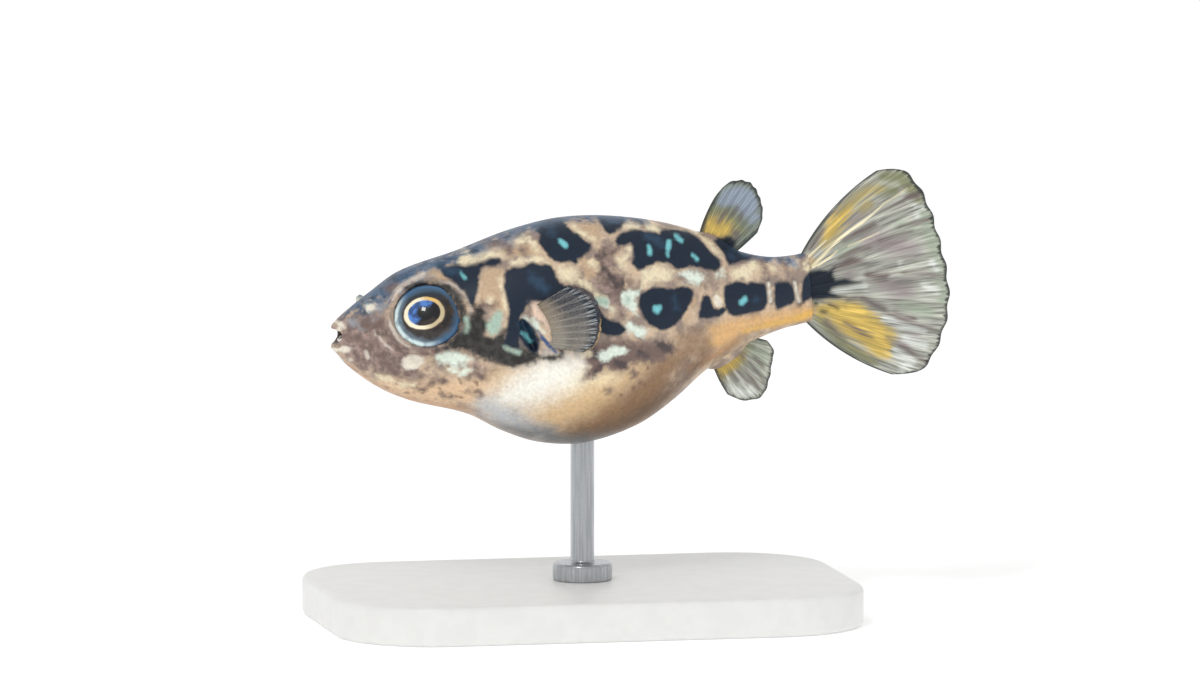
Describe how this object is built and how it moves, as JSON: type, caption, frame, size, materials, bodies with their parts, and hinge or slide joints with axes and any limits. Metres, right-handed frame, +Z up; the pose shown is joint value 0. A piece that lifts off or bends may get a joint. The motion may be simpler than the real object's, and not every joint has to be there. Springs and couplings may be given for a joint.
{
  "type": "freshwater pufferfish display model",
  "caption": "Life-size still model of a dwarf freshwater pufferfish, swimming nose down with a full belly, on a flat base with a short rod.",
  "frame": {"origin": "middle of the underside of the stand's flat base, under the rod", "axes": "+Z up, the fish faces -X with its tail fin towards +X, and its left flank faces -Y; it is nose down by 4 degrees"},
  "size_m": [0.0325, 0.018, 0.0224],
  "materials": {
    "skin": "moist, finely pored skin, tan and cream with navy blotches and a cream belly",
    "fin": "thin, slightly translucent rayed web, yellow towards the roots",
    "eye": "wet and glossy, with a gold ring round the pupil and a turquoise outer ring",
    "tooth": "smooth ivory-white enamel",
    "stand_base": "satin, pale grey-white",
    "stand_rod": "fine brushed steel"
  },
  "bodies": {
    "root": {"head": "skin", "trunk": "skin", "belly": "skin", "tail": "skin", "eye_left": "eye", "eye_right": "eye", "tooth_upper_left": "tooth", "tooth_upper_right": "tooth", "tooth_lower_left": "tooth", "tooth_lower_right": "tooth", "dorsal_fin": "fin", "anal_fin": "fin", "tail_fin": "fin", "pectoral_fin_left": "fin", "pectoral_fin_right": "fin", "stand_base": "stand_base", "stand_rod": "stand_rod"}
  },
  "joints": []
}
